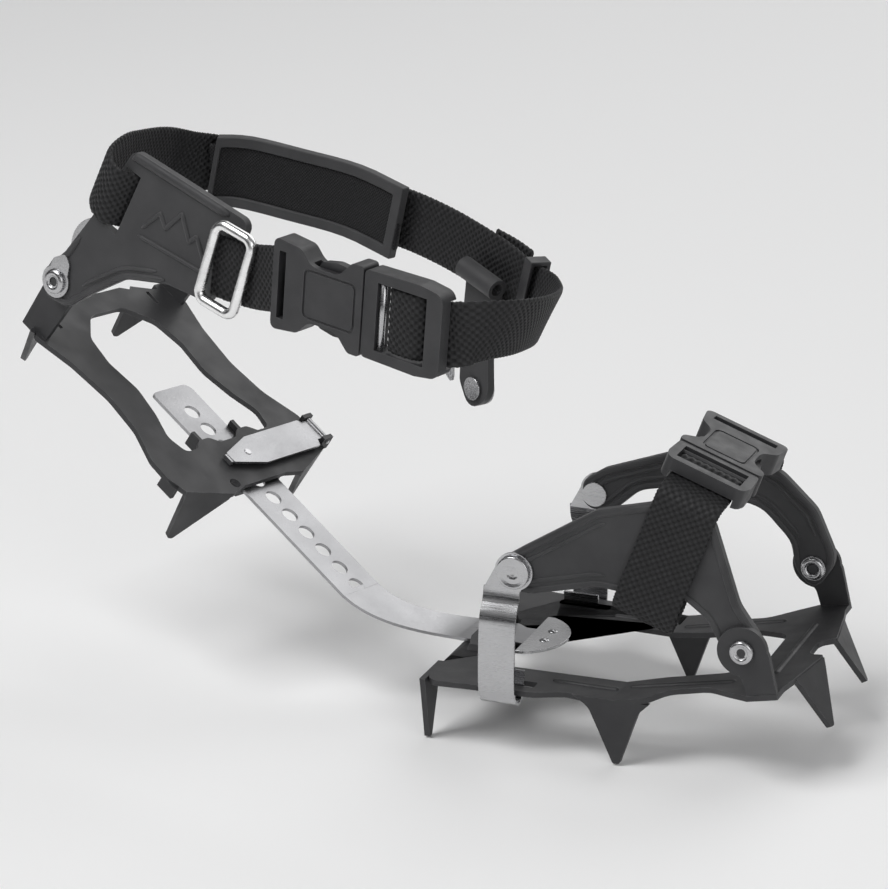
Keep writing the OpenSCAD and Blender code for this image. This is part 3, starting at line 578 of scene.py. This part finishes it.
def panel_relief():
    """Lip, double ridge and a ridge-line emblem on the near heel panel."""
    out = (PANEL.to_3x3() @ Vector((0, 1, 0))).normalized()
    back = PANEL.inverted()
    face = PANEL_IN + PANEL_T

    def height(p):
        return (back @ p).z / MM

    def across(p):
        return (back @ p).x / MM

    rim("heel_panel_near", "panel_lip", out, 1.7, 1.9, 1.5, lambda p: height(p) > 98 and -9 < across(p) < 41)
    rim("heel_panel_near", "panel_ridge_low", out, 1.6, 1.2, 1.0, lambda p: height(p) < 67)
    rim("heel_panel_near", "panel_ridge_high", out, 4.6, 0.8, 0.7, lambda p: height(p) < 69 and across(p) > -20)
    peaks = [(2, 82), (9, 91), (13, 86.5), (19, 95), (25, 86), (28, 89.5), (34, 81)]
    bar = [(1, 78.6), (35, 77.2)]
    for name, line, wide in (("ridge_emblem", peaks, 0.95), ("ridge_emblem_base", bar, 0.8)):
        dense = []
        for (ax, az), (bx, bz) in zip(line, line[1:]):
            count = max(2, int(math.hypot(bx - ax, bz - az) / 0.7))
            dense += [(ax + (bx - ax) * i / count, face, az + (bz - az) * i / count) for i in range(count)]
        dense.append((line[-1][0], face, line[-1][1]))
        rib = cord(name, local(PANEL, dense), out, wide, 0.75, "rubber")
        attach(rib, "ankle")


def turned(name, place, profile, body, slot="stainless"):
    """Head turned about the local y axis; profile holds radius and height in millimetres."""
    bm = bmesh.new()
    count = 48
    rings = []
    for radius, height in profile:
        turns = [2 * math.pi * k / count for k in range(count)]
        ring = [(radius * math.cos(a), height, radius * math.sin(a)) for a in turns]
        rings.append([bm.verts.new(p) for p in local(place, ring)])
    for a, b in zip(rings, rings[1:]):
        for i in range(count):
            j = (i + 1) % count
            bm.faces.new((a[i], a[j], b[j], b[i])).smooth = True
    bm.faces.new(rings[0])
    bm.faces.new(rings[-1])
    bmesh.ops.recalc_face_normals(bm, faces=bm.faces)
    head = new_piece(name, bm, slot)
    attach(head, body)
    return head


DISHED = [(5.4, 0), (6.3, 0.15), (6.5, 0.5), (6.5, 1.4), (6.3, 1.75), (5.9, 1.9), (5.5, 1.8), (4.2, 1.45),
          (2.4, 1.2), (1.1, 1.1), (0.8, 1), (0.4, 1)]
EYELET = [(3.4, 0), (4.4, 0.1), (4.7, 0.5), (4.6, 1.1), (4.1, 1.7), (3.4, 2), (2.7, 1.8), (2.2, 1.2), (2, 0.4),
          (1.95, 0.2)]
EYELET_HEEL = [(3.4, 0), (4.6, 0.05), (4.9, 0.4), (4.7, 1), (4.1, 1.5), (3.2, 1.7), (2.4, 1.4), (2, 0.6), (1.9, 0.1)]
# Dark rubber disc set low inside a hollow eyelet: painted shade standing in for the rivet's bore.
BORE_SHADE_DISC = [(2.05, 0), (1.9, 0.35), (1.5, 0.45)]


BUCKLE = ANKLE @ shift(118.5, -49.5, 102) @ turn(0, -9, 0) @ turn(-90, 0, 180)
MALE_BAR = (-7.7, 2)  # along and above the buckle, as in the CAD


def buckle_bar():
    """Bright steel sleeve over the bar in the ankle buckle's window."""
    place = BUCKLE @ shift(MALE_BAR[0], 0, MALE_BAR[1])
    turned("buckle_bar_sleeve", place, [(0.9, -13), (1.3, -12.8), (1.3, 12.8), (0.9, 13)], "ankle_male")


def rivet_heads():
    """Dished and hollow heads over the CAD's plain ones; a dark rubber disc low in each hollow head is painted shade
    for the rivet's bore.
    """
    fold = shift(-1.9, 0, 0) @ turn(0, -11.6, 0)
    for side, flip in (("near", NEAR_SIDE), ("far", Matrix.Identity(4))):
        turned(f"rear_head_{side}", flip @ shift(-40.7, 49.1, 47), DISHED, "toe")
        ear = flip @ fold
        turned(f"front_eyelet_{side}", ear @ shift(56, 50.2, 17.3), EYELET, "toe")
        turned(f"front_bore_shade_{side}", ear @ shift(56, 51.1, 17.3), BORE_SHADE_DISC, "toe", "rubber")
        inner = ear @ shift(56, 43.4, 17.3) @ turn(180, 0, 0)
        turned(f"front_inner_{side}", inner, EYELET, "toe")
        turned(f"front_inner_bore_shade_{side}", inner @ shift(0, 0.8, 0), BORE_SHADE_DISC, "toe", "rubber")
    rivet = HEEL @ shift(HEEL_RIVET[0], 0, HEEL_RIVET[1]) @ NEAR_SIDE
    turned("heel_eyelet", rivet @ shift(0, PANEL_IN + PANEL_T + 1.3, 0), EYELET_HEEL, "heel")
    turned("heel_bore_shade", rivet @ shift(0, PANEL_IN + PANEL_T + 1.45, 0), BORE_SHADE_DISC, "heel", "rubber")


def harness_relief():
    for node, out in (("toe_harness_near", (0, -1, 0)), ("toe_harness_far", (0, 1, 0))):
        for k, direction in enumerate((out, [-c for c in out])):
            rim(node, f"{node}_rim_{k}", direction, 1.5, 1.3, 0.8)
    rim("toe_harness_near", "near_inner_rib", (0, -1, 0), 5.2, 0.8, 0.6, lambda p: p.x < -0.004 and p.z > 0.042)
    rim("toe_harness_far", "far_inner_rib", (0, -1, 0), 4.6, 0.8, 0.7, lambda p: p.x < 0.05 and p.z > 0.04)


# ---------- scene ----------
EDGE = {"coated_steel": 0.35, "stainless": 0.18, "spring_steel": 0.15, "ring_wire": 0, "rubber": 0.55,
        "buckle_plastic": 0.5, "webbing": 0.3, "pad_textile": 0.5}
BUCKLE_EDGE = 0.9
HAND_BUILT = {"toe_webbing_near", "toe_webbing_far", "ankle_webbing_back", "ankle_webbing_front",
              "webbing_tail", "leaf_spring_bar", "ring_webbing", "heel_pad_insert"}


def metal_and_mouldings():
    for node in sorted(frame["nodes"]):
        if node not in HAND_BUILT:
            refined(node, BUCKLE_EDGE if "buckle" in node else EDGE[SLOT_OF[node]])


def spring_bar():
    """The CAD's spring bar as a shown copy with softened edges, in spring steel."""
    bm = clean_copy("leaf_spring_bar")
    for face in bm.faces:
        face.smooth = True
    bar = new_piece("spring_bar_bent", bm, "spring_steel")
    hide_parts("leaf_spring_bar")
    soften(bar, 0.15)
    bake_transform(bar)


def studio():
    floor_z = cad_box[0].z - 0.0005
    bm = bmesh.new()
    bmesh.ops.create_grid(bm, x_segments=1, y_segments=1, size=6)
    mesh = bpy.data.meshes.new("floor")
    bm.to_mesh(mesh)
    bm.free()
    floor = bpy.data.objects.new("floor", mesh)
    floor.location.z = floor_z
    bpy.context.scene.collection.objects.link(floor)
    paint = bpy.data.materials.new("floor_paint")
    paint.use_nodes = True
    paint.node_tree.nodes["Principled BSDF"].inputs["Base Color"].default_value = (0.9, 0.9, 0.9, 1)
    paint.node_tree.nodes["Principled BSDF"].inputs["Roughness"].default_value = 0.9
    mesh.materials.append(paint)
    world = bpy.data.worlds.new("studio")
    bpy.context.scene.world = world
    world.use_nodes = True
    tree = world.node_tree
    coord = tree.nodes.new("ShaderNodeTexCoord")
    wave = tree.nodes.new("ShaderNodeTexNoise")
    wave.inputs["Scale"].default_value = 1.6
    wave.inputs["Detail"].default_value = 1
    sky = tree.nodes.new("ShaderNodeValToRGB")
    sky.color_ramp.elements[0].position = 0.42
    sky.color_ramp.elements[0].color = (0.08, 0.08, 0.085, 1)
    sky.color_ramp.elements[1].position = 0.62
    sky.color_ramp.elements[1].color = (1, 1, 1, 1)
    tree.links.new(coord.outputs["Generated"], wave.inputs["Vector"])
    tree.links.new(wave.outputs["Fac"], sky.inputs["Fac"])
    tree.links.new(sky.outputs["Color"], tree.nodes["Background"].inputs["Color"])
    tree.nodes["Background"].inputs["Strength"].default_value = 0.55
    lights = (("key", (-0.8, -0.9, 1.9), 1.1, 30), ("fill", (1.4, -1.3, 0.9), 1.2, 7),
              ("back", (0.5, 1.7, 1.5), 2.4, 22))
    for name, place, size, power in lights:
        light = bpy.data.lights.new(name, "AREA")
        light.size = size
        light.energy = power
        lamp = bpy.data.objects.new(name, light)
        lamp.location = place
        lamp.rotation_mode = "QUATERNION"
        lamp.rotation_quaternion = (Vector((-0.09, 0, 0.05)) - Vector(place)).to_track_quat("-Z", "Y")
        bpy.context.scene.collection.objects.link(lamp)


def camera():
    azimuth, elevation, distance = math.radians(21.24), math.radians(18.94), 1.5484
    target = Vector((-0.0877, 0, 0.0759))
    back = Vector((math.sin(azimuth) * math.cos(elevation), -math.cos(azimuth) * math.cos(elevation),
                   math.sin(elevation)))
    data = bpy.data.cameras.new("camera")
    data.sensor_width = 36
    data.lens = 162
    cam = bpy.data.objects.new("camera", data)
    cam.location = target + back * distance
    cam.rotation_mode = "QUATERNION"
    cam.rotation_quaternion = (-back).to_track_quat("-Z", "Y")
    bpy.context.scene.collection.objects.link(cam)
    bpy.context.scene.camera = cam


metal_and_mouldings()
spring_bar()
toe_straps()
ankle_straps()
panel_relief()
harness_relief()
rivet_heads()
buckle_bar()
studio()
camera()
bpy.context.scene.view_settings.view_transform = "Standard"
